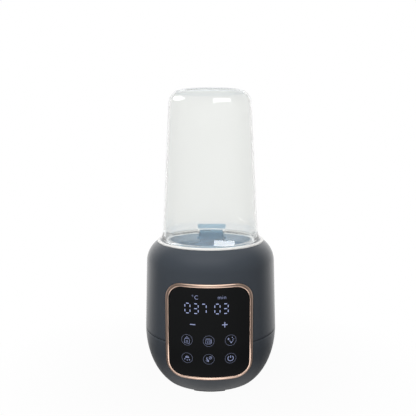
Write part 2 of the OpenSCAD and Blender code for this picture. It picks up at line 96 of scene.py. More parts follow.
def shift(bm, offset):
    bmesh.ops.translate(bm, verts=bm.verts[:], vec=offset)
    return bm


def turn(bm, degrees, axis):
    bmesh.ops.rotate(bm, verts=bm.verts[:], cent=(0, 0, 0),
                     matrix=Matrix.Rotation(math.radians(degrees), 3, axis))
    return bm


def cleanUp(bm):
    bmesh.ops.remove_doubles(bm, verts=bm.verts[:], dist=modelling["merge"])
    bmesh.ops.recalc_face_normals(bm, faces=bm.faces[:])
    return bm


# closed half section turned round the vertical axis
def spinSection(points, around=modelling["around"]):
    bm = bmesh.new()
    ring = [bm.verts.new((r, 0, z)) for r, z in points]
    for a, b in zip(ring, ring[1:] + ring[:1]):
        bm.edges.new((a, b))
    bmesh.ops.spin(bm, geom=bm.verts[:] + bm.edges[:], cent=(0, 0, 0), axis=(0, 0, 1),
                   angle=2 * math.pi, steps=around, use_merge=True)
    cleanUp(bm)
    bmesh.ops.delete(bm, geom=[e for e in bm.edges if not e.link_faces], context="EDGES")
    return bm


# block between two radii and two heights, turned through part of a circle
def spinBlock(inner, outer, low, high, start, span, steps):
    bm = bmesh.new()
    corners = ((inner, low), (outer, low), (outer, high), (inner, high))
    bm.faces.new([bm.verts.new((r, 0, z)) for r, z in corners])
    turn(bm, start, "Z")
    bmesh.ops.spin(bm, geom=bm.verts[:] + bm.edges[:] + bm.faces[:], cent=(0, 0, 0),
                   axis=(0, 0, 1), angle=math.radians(span), steps=steps)
    bmesh.ops.holes_fill(bm, edges=bm.edges[:], sides=0)
    return cleanUp(bm)


# flat outline in x and z, given its corners, rounded and pulled into a slab along y
def roundedSlab(corners, rounding, low, high, segments=1):
    bm = bmesh.new()
    bm.faces.new([bm.verts.new((x, low, z)) for x, z in corners])
    if rounding:
        bmesh.ops.bevel(bm, geom=bm.verts[:], affect="VERTICES", offset=rounding,
                        offset_type="OFFSET", segments=segments, profile=0.5, material=-1)
    pulled = bmesh.ops.extrude_face_region(bm, geom=bm.faces[:], use_keep_orig=True)
    moved = [v for v in pulled["geom"] if isinstance(v, bmesh.types.BMVert)]
    bmesh.ops.translate(bm, verts=moved, vec=(0, high - low, 0))
    return cleanUp(bm)


# upright cylinder about the origin
def rod(radius, depth, around=modelling["rodAround"]):
    bm = bmesh.new()
    bmesh.ops.create_cone(bm, cap_ends=True, segments=around, radius1=radius, radius2=radius,
                          depth=depth)
    return bm


# cylinder lying along y
def lyingRod(radius, height, low, high):
    return shift(turn(rod(radius, high - low), -90, "X"), (0, (low + high) / 2, height))


def softenEdges(bm, width, segments=2, angle=modelling["crease"], where=None):
    edges = [e for e in bm.edges if e.is_manifold
             and e.calc_face_angle(0) > math.radians(angle) and (where is None or where(e))]
    bmesh.ops.bevel(bm, geom=edges, affect="EDGES", offset=width, offset_type="OFFSET",
                    segments=segments, profile=0.5, material=-1, clamp_overlap=True)
    return bm


def sliceUp(bm, xs, zs):
    for normal, places in (((1, 0, 0), xs), ((0, 0, 1), zs)):
        for place in places:
            bmesh.ops.bisect_plane(bm, geom=bm.verts[:] + bm.edges[:] + bm.faces[:],
                                   plane_co=Vector(normal) * place, plane_no=normal)
    return bm


def bmeshToMesh(bm, name):
    mesh = bpy.data.meshes.new(name)
    bm.to_mesh(mesh)
    bm.free()
    return mesh


def addInto(bm, other):
    mesh = bmeshToMesh(other, "addition")
    bm.from_mesh(mesh)
    bpy.data.meshes.remove(mesh)
    return bm


# one solid cut from, joined to or kept inside another
def combine(bm, tool, operation):
    objects = [bpy.data.objects.new("combining", bmeshToMesh(b, "combining")) for b in (bm, tool)]
    for o in objects:
        scene.collection.objects.link(o)
    modifier = objects[0].modifiers.new("combining", "BOOLEAN")
    modifier.object = objects[1]
    modifier.operation = operation
    modifier.solver = "EXACT"
    seen = objects[0].evaluated_get(bpy.context.evaluated_depsgraph_get())
    mesh = bpy.data.meshes.new_from_object(seen)
    result = bmesh.new()
    result.from_mesh(mesh)
    for old in [o.data for o in objects] + [mesh]:
        bpy.data.meshes.remove(old)
    return result


def finishPiece(name, bm, finish, body, replaced=(), sharp=modelling["sharp"]):
    cleanUp(bm)
    bmesh.ops.scale(bm, vec=[modelling["unit"]] * 3, verts=bm.verts[:])
    mesh = bmeshToMesh(bm, name)
    mesh.shade_smooth()
    mesh.set_sharp_from_angle(angle=math.radians(sharp))
    mesh.materials.append(finishes[finish])
    piece = bpy.data.objects.new(name, mesh)
    scene.collection.objects.link(piece)
    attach(piece, body)
    if replaced:
        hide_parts(*replaced)
    return piece


# math node, given sockets or numbers
def addMath(tree, operation, *values):
    node = tree.nodes.new("ShaderNodeMath")
    node.operation = operation
    for socket, value in zip(node.inputs, values):
        if isinstance(value, (int, float)):
            socket.default_value = value
        else:
            tree.links.new(value, socket)
    return node.outputs[0]


# map range node, given a socket, its limits and what they become
def addRange(tree, value, fromMin, fromMax, toMin, toMax):
    node = tree.nodes.new("ShaderNodeMapRange")
    tree.links.new(value, node.inputs["Value"])
    for socket, limit in (("From Min", fromMin), ("From Max", fromMax),
                          ("To Min", toMin), ("To Max", toMax)):
        node.inputs[socket].default_value = limit
    return node.outputs["Result"]


def addGroupSockets(group, direction, sockets):
    for name, kind in sockets:
        group.interface.new_socket(name=name, in_out=direction, socket_type=kind)


# moulded or machined surface: colour and roughness drift a little, and a fine grain gives height
grainSet = {"fineDetail": 2, "broadDetail": 3, "broadShare": 2.0}


def makeSurfaceGroup(settings):
    group = bpy.data.node_groups.new("surfaceGrain", "ShaderNodeTree")
    addGroupSockets(group, "INPUT", [
        ("Colour", "NodeSocketColor"), ("Colour Drift", "NodeSocketFloat"),
        ("Roughness", "NodeSocketFloat"), ("Roughness Drift", "NodeSocketFloat"),
        ("Grain Scale", "NodeSocketFloat"), ("Drift Scale", "NodeSocketFloat"),
        ("Stretch", "NodeSocketVector")])
    addGroupSockets(group, "OUTPUT", [
        ("Colour", "NodeSocketColor"), ("Roughness", "NodeSocketFloat"),
        ("Height", "NodeSocketFloat")])
    nodes, links = group.nodes, group.links
    given, result = nodes.new("NodeGroupInput"), nodes.new("NodeGroupOutput")
    where = nodes.new("ShaderNodeTexCoord")
    stretched, tinted = [nodes.new("ShaderNodeVectorMath") for _ in range(2)]
    stretched.operation, tinted.operation = "MULTIPLY", "SCALE"
    links.new(where.outputs["Object"], stretched.inputs[0])
    links.new(given.outputs["Stretch"], stretched.inputs[1])

    def noise(scaleName, detail):
        node = nodes.new("ShaderNodeTexNoise")
        node.inputs["Detail"].default_value = detail
        links.new(stretched.outputs[0], node.inputs["Vector"])
        links.new(given.outputs[scaleName], node.inputs["Scale"])
        return node.outputs["Fac"]

    fine = noise("Grain Scale", settings["fineDetail"])
    broad = noise("Drift Scale", settings["broadDetail"])
    share = settings["broadShare"]
    drift = addMath(group, "MULTIPLY_ADD", broad, share, fine)
    drift = addMath(group, "SUBTRACT", drift, (share + 1) / 2)  # both ways about zero
    tone = addMath(group, "MULTIPLY_ADD", drift, given.outputs["Colour Drift"], 1.0)
    links.new(given.outputs["Colour"], tinted.inputs[0])
    links.new(tone, tinted.inputs["Scale"])
    links.new(tinted.outputs[0], result.inputs["Colour"])
    rough = addMath(group, "MULTIPLY_ADD", drift, given.outputs["Roughness Drift"],
                    given.outputs["Roughness"])
    links.new(rough, result.inputs["Roughness"])
    links.new(fine, result.inputs["Height"])
    return group


surfaceGroup = makeSurfaceGroup(grainSet)

# what a finish has unless its own look says otherwise
plainLook = {"drift": 0.05, "roughness": 0.5, "roughDrift": 0.06, "grain": 1400, "broad": 22,
             "stretch": (1, 1, 1), "bump": 0.15, "depth": 0.0001, "sockets": {}}
grainSockets = {"Colour Drift": "drift", "Roughness": "roughness", "Roughness Drift": "roughDrift",
                "Grain Scale": "grain", "Drift Scale": "broad", "Stretch": "stretch"}


def makeFinish(name, look):
    look = {**plainLook, **look}
    material = bpy.data.materials.new(name)
    material.use_nodes = True
    nodes, links = material.node_tree.nodes, material.node_tree.links
    shader = nodes["Principled BSDF"]
    grain, bump = nodes.new("ShaderNodeGroup"), nodes.new("ShaderNodeBump")
    grain.node_tree = surfaceGroup
    grain.inputs["Colour"].default_value = (*look["colour"], 1)
    for socket, key in grainSockets.items():
        grain.inputs[socket].default_value = look[key]
    bump.inputs["Strength"].default_value = look["bump"]
    bump.inputs["Distance"].default_value = look["depth"]
    links.new(grain.outputs["Colour"], shader.inputs["Base Color"])
    links.new(grain.outputs["Roughness"], shader.inputs["Roughness"])
    links.new(grain.outputs["Height"], bump.inputs["Height"])
    links.new(bump.outputs["Normal"], shader.inputs["Normal"])
    for socket, value in look["sockets"].items():
        shader.inputs[socket].default_value = value
    return material


# milky see-through cover: wall, flared foot, cloudier thick places tinted blue to paint in light
# scattered from the basket, frosted rim, and crown
coverSkin = {"drift": 0.01, "roughness": 0.1, "roughDrift": 0.02, "bump": 0.02, "coatRough": 0.03}
coverLooks = {
    "cover_plastic": {"colour": (0.928, 0.936, 0.924), "clear": 0.95, "shade": 0.03,
                      "ior": 1.14, "gloss": 1.5},
    "cover_foot": {"colour": (0.94, 0.958, 0.965), "clear": 0.91, "shade": 0.03,
                   "ior": 1.05, "gloss": 1.9},
    # the cloudier finish's blue tint is painted light, scattered up from the blue basket
    "cover_cloud_and_painted_light": {"colour": (0.86, 0.93, 0.96), "clear": 0.83, "shade": 0.1,
                    "ior": 1.05, "gloss": 1.6},
    "cover_rim": {"colour": (0.97, 0.962, 0.935), "clear": 0.2, "shade": 0.12,
                  "ior": 1.1, "gloss": 1.5},
    "cover_crown": {"colour": (0.915, 0.925, 0.918), "clear": 0.95, "shade": 0.03,
                    "ior": 1.04, "gloss": 1.5},
}


def makeCoverFinish(name, look):
    sockets = {"Transmission Weight": look["clear"], "IOR": look["ior"],
               "Coat IOR": look["gloss"], "Coat Roughness": coverSkin["coatRough"]}
    material = makeFinish(name, {**coverSkin, "colour": look["colour"], "sockets": sockets})
    tree = material.node_tree
    shader = tree.nodes["Principled BSDF"]
    # most of the lamps' light goes straight through to what is inside
    path = tree.nodes.new("ShaderNodeLightPath")
    lighting = addMath(tree, "MAXIMUM", path.outputs["Is Shadow Ray"],
                       path.outputs["Is Diffuse Ray"])
    tree.links.new(addRange(tree, lighting, 0.0, 1.0, 1.0, look["shade"]), shader.inputs["Alpha"])
    # gloss lies on the outside of the plastic only
    facing = tree.nodes.new("ShaderNodeNewGeometry")
    outside = addMath(tree, "SUBTRACT", 1.0, facing.outputs["Backfacing"])
    tree.links.new(outside, shader.inputs["Coat Weight"])
    return material


unlitColour = (0.05, 0.05, 0.06)


def lit(colour, strength):
    return {"colour": unlitColour, "sockets": {
        "Emission Color": (*colour, 1), "Emission Strength": strength}}


metal = {"Metallic": 1.0}
finishLooks = {
    "body_plastic": {"colour": (0.066, 0.0785, 0.096), "roughness": 0.5, "drift": 0.04,
                     "grain": 2600, "bump": 0.22,
                     "sockets": {"Specular IOR Level": 0.12, "Coat Weight": 1.0,
                                 "Coat IOR": 1.55, "Coat Roughness": 0.24}},
    "foot_rubber": {"colour": (0.03, 0.03, 0.032), "roughness": 0.8, "grain": 1800, "bump": 0.35},
    "plated_trim": {"colour": (0.93, 0.67, 0.54), "roughness": 0.34, "drift": 0.03,
                    "roughDrift": 0.04, "grain": 3000, "bump": 0.05, "sockets": metal},
    "lens_black": {"colour": (0.0138, 0.0144, 0.015), "roughness": 0.16, "roughDrift": 0.03,
                   "bump": 0.02, "sockets": {"Specular IOR Level": 0.06}},
    "carrier_plastic": {"colour": (0.6, 0.6, 0.58)},
    "circuit_board": {"colour": (0.02, 0.17, 0.08), "roughness": 0.4, "grain": 700, "drift": 0.12},
    "display_black": {"colour": (0.03, 0.03, 0.035), "roughness": 0.3},
    "pad_foam": {"colour": (0.18, 0.18, 0.2), "roughness": 0.9, "grain": 900, "bump": 0.6},
    "screw_steel": {"colour": (0.6, 0.61, 0.63), "roughness": 0.3, "stretch": (1, 1, 8),
                    "sockets": metal},
    "ribbon_grey": {"colour": (0.5, 0.5, 0.48), "stretch": (6, 1, 1), "grain": 300, "bump": 0.3},
    "liner_plastic": {"colour": (0.16, 0.27, 0.37), "roughness": 0.38, "bump": 0.1},
    "silicone": {"colour": (0.7, 0.7, 0.68), "roughness": 0.6},
    "plate_aluminium": {"colour": (0.6, 0.61, 0.62), "roughness": 0.35, "stretch": (1, 12, 1),
                        "grain": 500, "sockets": metal},
    "element_steel": {"colour": (0.45, 0.45, 0.46), "roughness": 0.4, "sockets": metal},
    "lead_red": {"colour": (0.5, 0.05, 0.04), "roughness": 0.5},
    "thermostat_black": {"colour": (0.05, 0.05, 0.05)},
    "sensor_brass": {"colour": (0.7, 0.5, 0.22), "roughness": 0.3, "sockets": metal},
    "frame_plastic": {"colour": (0.2, 0.21, 0.23)},
    "transformer_tape": {"colour": (0.65, 0.5, 0.12), "roughness": 0.35},
    "relay_blue": {"colour": (0.05, 0.12, 0.4), "roughness": 0.35},
    "capacitor_sleeve": {"colour": (0.05, 0.05, 0.15), "roughness": 0.3},
    "fuse_ceramic": {"colour": (0.75, 0.75, 0.72), "roughness": 0.25},
    "socket_white": {"colour": (0.8, 0.8, 0.75)},
    "terminal_green": {"colour": (0.07, 0.28, 0.12)},
    "gland_black": {"colour": (0.025, 0.025, 0.027), "roughness": 0.55, "bump": 0.2},
    "basket_plastic": {"colour": (0.42, 0.63, 0.78), "roughness": 0.42, "bump": 0.1,
                       "sockets": {"Transmission Weight": 0.74, "IOR": 1.2}},
    "lit_numbers": lit((0.48, 0.56, 0.92), 0.76),
    "lit_signs": lit((0.45, 0.52, 0.85), 0.6),
    "lit_rings": lit((0.42, 0.48, 0.75), 0.32),
}
finishes = {name: makeFinish(name, look) for name, look in finishLooks.items()}
finishes.update({name: makeCoverFinish(name, look) for name, look in coverLooks.items()})

for part in frame["record"]["subparts"]:
    node = frame["nodes"][part["node"]]
    node.data.materials.clear()
    node.data.materials.append(finishes[part["material_slot"]])
print("finishes made:", len(finishes))

# outside of the body, millimetres and degrees; the steps are faces along each curve
bodyShape = {"seamRadius": 65.0, "seamHeight": 52.0, "bowlTall": 58.0, "bowlTo": 88,
             "baseRadius": 46.25, "baseHeight": 1.5, "shoulderRadius": 63.0, "shoulderRound": 24.0,
             "seatRadius": 52.5, "seatHeight": 138.0, "neckRadius": 43.8, "wall": 2.6, "top": 3.0,
             "seamGap": 0.28, "lipThick": 1.4, "lipUp": 2.0, "lipDown": 3.2, "edge": 0.3,
             "slopeStep": 0.1, "sideSteps": 28, "shoulderSteps": 18, "underSteps": 8,
             "bowlSteps": 34, "insideSteps": 16}


# the bowl's ellipse ends at the base, and the shoulder's arc at the seat
def addBodyArcs(s):
    bowlEnd = math.acos((s["seamHeight"] - s["baseHeight"]) / s["bowlTall"])
    s["bowlFrom"] = math.degrees(bowlEnd)
    s["bowlWide"] = (s["seamRadius"] - s["baseRadius"]) / (1 - math.sin(bowlEnd))
    shoulderEnd = math.acos((s["seatRadius"] - s["shoulderRadius"]) / s["shoulderRound"] + 1)
    s["shoulderTo"] = math.degrees(shoulderEnd)
    s["shoulderHeight"] = s["seatHeight"] - s["shoulderRound"] * math.sin(shoulderEnd)


addBodyArcs(bodyShape)


def bodyRadius(z):
    s = bodyShape
    if z < s["seamHeight"]:
        part = math.sqrt(1 - ((s["seamHeight"] - z) / s["bowlTall"]) ** 2)
        return s["seamRadius"] - s["bowlWide"] * (1 - part)
    rise = (z - s["seamHeight"]) / (s["shoulderHeight"] - s["seamHeight"])
    return s["seamRadius"] + (s["shoulderRadius"] - s["seamRadius"]) * rise


# radius at a height, with a layer of some thickness put on along the surface's normal
def layerRadius(z, layer):
    step = bodyShape["slopeStep"]
    slope = (bodyRadius(z + step) - bodyRadius(z - step)) / (2 * step)
    return bodyRadius(z) + layer * math.hypot(1, slope)


# flat panel pieces hold their height above the housing in y, and are bent onto the front here
def wrapOnFront(bm):
    for v in bm.verts:
        radius = layerRadius(v.co.z, v.co.y)
        v.co.y = -math.sqrt(radius ** 2 - v.co.x ** 2)
    return cleanUp(bm)


# control panel, millimetres and degrees
panelShape = {"half": 40.3, "bottom": 17.7, "top": 109.5, "corner": 16.0, "cornerSteps": 10,
              "frame": 3.2, "gap": 0.25, "ledge": 1.0, "cutOut": 4.0, "cutIn": 6.0, "past": 1.0,
              "bezelOut": 1.0, "bezelIn": 1.3, "bezelRound": 1.25, "roundSteps": 5,
              "lensOut": 0.3, "lensIn": 1.2, "lensGap": 0.04, "lensEdge": 0.15,
              "cell": 2.4, "sharp": 40}


def bendPanel(bm):
    p = panelShape
    xs = spread(-p["half"], p["half"], round(2 * p["half"] / p["cell"]))
    zs = spread(p["bottom"], p["top"], round((p["top"] - p["bottom"]) / p["cell"]))
    return wrapOnFront(sliceUp(bm, xs[1:-1], zs[1:-1]))


def panelSlab(inset, low, high):
    p = panelShape
    half = p["half"] - inset
    corners = rectangle(-half, half, p["bottom"] + inset, p["top"] - inset)
    return roundedSlab(corners, p["corner"] - inset, low, high, p["cornerSteps"])


# seat of the bezel, and the window behind the lens
def cutPanel(bm):
    p = panelShape
    seat = panelSlab(-p["gap"], -p["bezelIn"] - p["gap"], p["cutOut"])
    window = panelSlab(p["frame"] - p["ledge"], -p["cutIn"], p["cutOut"])
    for cutter in (seat, window):
        bm = combine(bm, bendPanel(cutter), "DIFFERENCE")
    return bm


def makeUpperHousing():
    s = bodyShape
    centre = (s["shoulderRadius"] - s["shoulderRound"], s["shoulderHeight"])
    low = s["seamHeight"] + s["seamGap"]
    inner = s["shoulderRound"] - s["wall"]
    under = s["seatHeight"] - s["top"]
    innerTo = math.degrees(math.asin((under - centre[1]) / inner))
    lip = s["seamRadius"] - s["wall"] - s["seamGap"]
    lipIn, lipHigh, lipLow = lip - s["lipThick"], low + s["lipUp"], low - s["lipDown"]
    outline = [(bodyRadius(z), z) for z in spread(low, s["shoulderHeight"], s["sideSteps"])]
    outline += arcPoints(centre, s["shoulderRound"], 0, s["shoulderTo"], s["shoulderSteps"])[1:]
    outline += [(s["neckRadius"], s["seatHeight"]), (s["neckRadius"], under)]
    outline += arcPoints(centre, inner, innerTo, 0, s["underSteps"])
    outline += [(lip, lipHigh), (lipIn, lipHigh), (lipIn, lipLow), (lip, lipLow), (lip, low)]
    bm = softenEdges(spinSection(outline), s["edge"])
    return finishPiece("upperHousing", cutPanel(bm), "body_plastic", "base",
                       ["upper_housing"])


# round boss and recess of the cord inlet, millimetres; bossInWall is a share of the wall
inletShape = {"height": 30.0, "recess": 9.5, "boss": 11.5, "bossDepth": 4.3, "bossTo": 66.0,
              "bossClear": 4.0, "bossInWall": 0.25, "bossSteps": 30, "hole": 5.2, "sunk": 0.4,
              "holeFrom": 45.0, "cutTo": 80.0}
inletShape["face"] = bodyRadius(inletShape["height"] - inletShape["recess"]) - inletShape["sunk"]


def makeLowerHousing():
    s, i = bodyShape, inletShape
    high = s["seamHeight"] - s["seamGap"]
    floor = s["baseHeight"] + s["wall"]
    outline = [(bodyRadius(high), high)]
    for angle in spread(s["bowlTo"], s["bowlFrom"], s["bowlSteps"]):
        across, down = math.sin(math.radians(angle)), math.cos(math.radians(angle))
        outline.append((s["seamRadius"] - s["bowlWide"] * (1 - across),
                        s["seamHeight"] - s["bowlTall"] * down))
    outline += [(0, s["baseHeight"]), (0, floor)]
    outline += [(layerRadius(z, -s["wall"]), z) for z in spread(floor, high, s["insideSteps"])]
    bm = softenEdges(spinSection(outline), s["edge"])
    # the boss of the inlet ends inside the bowl's wall
    low, top = floor + i["bossClear"], high - i["bossClear"]
    sunk = s["wall"] * i["bossInWall"]
    bowl = [(layerRadius(z, -sunk), z) for z in spread(low, top, i["bossSteps"])]
    bowl = spinSection([(0, low)] + bowl + [(0, top)])
    boss = lyingRod(i["boss"], i["height"], i["face"] - i["bossDepth"], i["bossTo"])
    bm = combine(bm, combine(boss, bowl, "INTERSECT"), "UNION")
    for radius, start in ((i["recess"], i["face"]), (i["hole"], i["holeFrom"])):
        bm = combine(bm, lyingRod(radius, i["height"], start, i["cutTo"]), "DIFFERENCE")
    return finishPiece("lowerHousing", cutPanel(bm), "body_plastic", "base",
                       ["lower_housing"])


upperHousing = makeUpperHousing()
lowerHousing = makeLowerHousing()
print("housings made:", len(upperHousing.data.polygons), len(lowerHousing.data.polygons))

# curved rubber pads under the base, millimetres and degrees
footShape = {"inner": 32.7, "outer": 44.7, "span": 39.0, "height": 1.5, "edge": 0.35, "steps": 16,
             "places": (0, 90, 180, 270)}


def makeFeet():
    f = footShape
    bm = bmesh.new()
    for place in f["places"]:
        pad = spinBlock(f["inner"], f["outer"], 0, f["height"], place - f["span"] / 2, f["span"],
                        f["steps"])
        addInto(bm, softenEdges(pad, f["edge"], angle=modelling["corner"]))
    return finishPiece("rubberFeet", bm, "foot_rubber", "base", ["rubber_feet"])


def makeBezel():
    p = panelShape
    bm = panelSlab(0, -p["bezelIn"], p["bezelOut"])
    inner = panelSlab(p["frame"], -p["bezelIn"] - p["past"], p["bezelOut"] + p["past"])
    bm = combine(bm, inner, "DIFFERENCE")

    def onFace(edge):
        return all(abs(v.co.y - p["bezelOut"]) < modelling["same"] for v in edge.verts)

    softenEdges(bm, p["bezelRound"], p["roundSteps"], modelling["corner"], onFace)
    return finishPiece("panelBezel", bendPanel(bm), "plated_trim", "base",
                       ["panel_bezel"], p["sharp"])


def makeLens():
    p = panelShape
    bm = panelSlab(p["frame"] + p["lensGap"], -p["lensIn"], p["lensOut"])
    softenEdges(bm, p["lensEdge"], angle=modelling["corner"])
    return finishPiece("touchLens", bendPanel(bm), "lens_black", "base",
                       ["touch_glass"], p["sharp"])


makeFeet()
makeBezel()
makeLens()
print("feet and panel made")

# lit signs on the lens, millimetres
signShape = {"low": 0.22, "high": 0.4, "line": 0.32, "bold": 0.62, "lineFlat": 0.2, "ring": 4.95,
             "ringLine": 0.26, "ringSteps": 48, "barRound": 0.45, "barSteps": 3, "cell": 1.1}
letterShape = {"size": 1.42, "thinner": 0.06, "apart": 1.12, "steps": 3}
labels = ({"words": "°C", "x": -12.4, "z": 97.8, "tall": 3.75},
          {"words": "min", "x": 12.0, "z": 98.0, "tall": 3.5})
digitShape = {"columns": ((-19.2, "0"), (-11.7, "3"), (-4.5, "7"), (7.9, "0"), (15.2, "3")),
              "middle": 87.4, "wide": 2.6, "thick": 0.72, "tall": 2.3, "reachX": 2.35,
              "reachZ": 4.45}
# bars of a number: top, upper left, upper right, middle, lower left, lower right, bottom
numberBars = {"0": (1, 1, 1, 0, 1, 1, 1), "3": (1, 0, 1, 1, 0, 1, 1),
              "7": (1, 0, 1, 0, 0, 1, 0)}


def signBar(x, z, wide, tall):
    s = signShape
    corners = rectangle(x - wide / 2, x + wide / 2, z - tall / 2, z + tall / 2)
    return roundedSlab(corners, min(wide, tall) * s["barRound"], s["low"], s["high"],
                       s["barSteps"])


def bendSigns(bm):
    xs = [v.co.x for v in bm.verts]
    places = spread(min(xs), max(xs), math.ceil((max(xs) - min(xs)) / signShape["cell"]))
    return wrapOnFront(sliceUp(bm, places[1:-1], []))


def makeNumbers():
    d = digitShape
    bm = bmesh.new()
    half = d["reachZ"] / 2
    spots = ((0, d["reachZ"], 0), (-d["reachX"], half, 1), (d["reachX"], half, 1), (0, 0, 0),
             (-d["reachX"], -half, 1), (d["reachX"], -half, 1), (0, -d["reachZ"], 0))
    for column, number in d["columns"]:
        for shown, (x, z, upright) in zip(numberBars[number], spots):
            if shown:
                wide, tall = (d["thick"], d["tall"]) if upright else (d["wide"], d["thick"])
                addInto(bm, signBar(column + x, d["middle"] + z, wide, tall))
    return finishPiece("displayNumbers", bendSigns(bm), "lit_numbers", "base")


# words or a drawn line, made a mesh
def curveToBmesh(data):
    holder = bpy.data.objects.new("drawing", data)
    scene.collection.objects.link(holder)
    seen = holder.evaluated_get(bpy.context.evaluated_depsgraph_get())
    mesh = bpy.data.meshes.new_from_object(seen)
    bpy.data.objects.remove(holder)
    bpy.data.curves.remove(data)
    bm = bmesh.new()
    bm.from_mesh(mesh)
    bpy.data.meshes.remove(mesh)
    return bm


def flatText(words, x, z, tall):
    data = bpy.data.curves.new("words", "FONT")
    data.body = words
    data.align_x = "CENTER"
    data.resolution_u = letterShape["steps"]
    data.extrude = (signShape["high"] - signShape["low"]) / 2
    data.size = tall * letterShape["size"]
    data.offset = -letterShape["thinner"]
    data.space_character = letterShape["apart"]
    bm = turn(curveToBmesh(data), 90, "X")
    for v in bm.verts:
        v.co.y = -v.co.y
    return shift(bm, (x, (signShape["low"] + signShape["high"]) / 2, z - tall / 2))


def makeLabels():
    bm = bmesh.new()
    for label in labels:
        addInto(bm, flatText(**label))
    return finishPiece("unitLabels", bendSigns(bm), "lit_signs", "base")


# flattened line on the lens through some points
def signLine(points, line, closed=False):
    data = bpy.data.curves.new("line", "CURVE")
    data.dimensions = "3D"
    data.bevel_depth = line / 2
    data.bevel_resolution = 1
    data.use_fill_caps = True
    spline = data.splines.new("POLY")
    spline.points.add(len(points) - 1)
    for spot, (x, z) in zip(spline.points, points):
        spot.co = (x, 0, z, 1)
    spline.use_cyclic_u = closed
    bm = curveToBmesh(data)
    bmesh.ops.scale(bm, vec=(1, signShape["lineFlat"], 1), verts=bm.verts[:])
    return shift(bm, (0, panelShape["lensOut"], 0))


def circle(x, z, radius, count):
    return arcPoints((x, z), radius, 0, 360, count)[:-1]


# touch keys: a minus and a plus over two rows of ringed signs, millimetres
keyShape = {"setHeight": 72.6, "setReach": 14.5, "setWide": 5.0, "setThick": 0.8,
            "columns": (-19.8, 0.0, 19.8), "rows": (57.8, 40.5)}
# drawings in the ringed keys, about each key's middle; a dot has its place and radius
bottleBody = [(-2.0, -3.0), (2.0, -3.0), (2.4, -2.6), (2.4, 0.3), (1.4, 1.3), (-1.4, 1.3),
              (-2.4, 0.3), (-2.4, -2.6)]
bottleCap = [(-1.4, 1.3), (-1.3, 2.0), (-0.5, 2.3), (0, 3.4), (0.5, 2.3), (1.3, 2.0), (1.4, 1.3)]
drop = [(0, 0.2), (0.8, -1.1), (0.5, -2.0), (-0.5, -2.0), (-0.8, -1.1)]
jar = [(-2.4, -2.6), (1.4, -2.6), (1.7, -2.3), (1.7, 1.2), (-2.7, 1.2), (-2.7, -2.3)]
jarLid, jarSide = [(-2.7, 2.1), (1.7, 2.1)], [(2.5, -2.2), (2.5, 1.6)]
heatLeft = [(-1.2, 0.5), (-0.7, -0.3), (-1.2, -1.1), (-0.7, -1.9)]
heatRight = [(0.3, 0.5), (0.8, -0.3), (0.3, -1.1), (0.8, -1.9)]
starAcross, starUp = [(-3.1, 1.3), (-0.9, 1.3)], [(-2.0, 0.2), (-2.0, 2.4)]
bubble = arcPoints((0.7, -0.4), 1.4, 150, 400, 16)
dome, domeFoot = arcPoints((0, 0.4), 1.3, 0, 180, 12), [(-1.8, 0.4), (1.8, 0.4)]
curl = [(-1.5, 2.0), (-2.0, 0.8), (-0.9, -0.5), (-0.5, -2.1)]
curlTail, slash = [(-2.5, -0.4), (-1.8, -2.2)], [(0.8, 0.7), (2.2, 2.3)]
powerRing, powerBar = arcPoints((0, -0.1), 2.5, 122, 418, 22), [(0, 0.4), (0, 2.7)]
keyDrawings = [
    {"lines": [bottleCap], "closed": [bottleBody, drop]},
    {"lines": [jarLid, jarSide, heatLeft, heatRight], "closed": [jar]},
    {"lines": [starAcross, starUp, bubble],
     "dots": [(-2.0, 1.3, 0.55), (1.5, 2.4, 0.45), (0.5, -2.1, 0.6), (2.9, 0.9, 0.3)]},
    {"bold": [dome, domeFoot], "dots": [(-2.2, -1.3, 0.45), (0, -2.2, 0.45), (2.1, -1.7, 0.5)]},
    {"lines": [slash, curlTail], "closed": [circle(1.5, 1.5, 1.3, 18)], "bold": [curl],
     "dots": [(-0.6, -1.7, 0.7)]},
    {"bold": [powerRing, powerBar]},
]


def makeKeys():
    k, s = keyShape, signShape
    rings, signs = bmesh.new(), bmesh.new()
    for x in (-k["setReach"], k["setReach"]):
        addInto(signs, signBar(x, k["setHeight"], k["setWide"], k["setThick"]))
    addInto(signs, signBar(k["setReach"], k["setHeight"], k["setThick"], k["setWide"]))
    places = [(x, z) for z in k["rows"] for x in k["columns"]]
    kinds = (("lines", s["line"], False), ("closed", s["line"], True), ("bold", s["bold"], False))
    for (x, z), drawing in zip(places, keyDrawings):
        ring = circle(x, z, s["ring"], s["ringSteps"])
        addInto(rings, signLine(ring, s["ringLine"], True))
        for kind, line, closed in kinds:
            for points in drawing.get(kind, ()):
                addInto(signs, signLine([(x + a, z + b) for a, b in points], line, closed))
        for a, b, radius in drawing.get("dots", ()):
            addInto(signs, signBar(x + a, z + b, 2 * radius, 2 * radius))
    finishPiece("keyRings", bendSigns(rings), "lit_rings", "base")
    finishPiece("keySigns", bendSigns(signs), "lit_signs", "base")


makeNumbers()
makeLabels()
makeKeys()
print("signs made")

# cord inlet with its ridged collar, millimetres and degrees
glandShape = {"bore": 3.2, "sleeve": 5.0, "flange": 8.5, "flangeThick": 2.0, "start": 50.0,
              "end": 66.0, "chamfer": 0.3, "fillet": 0.6, "mouthWide": 0.7, "mouthDeep": 0.8,
              "ridges": 2, "ridgeStep": 1.9, "ridgeDeep": 0.4, "ridgeMarks": (0.3, 0.8, 1.1),
              "edge": 0.12, "crease": 50}


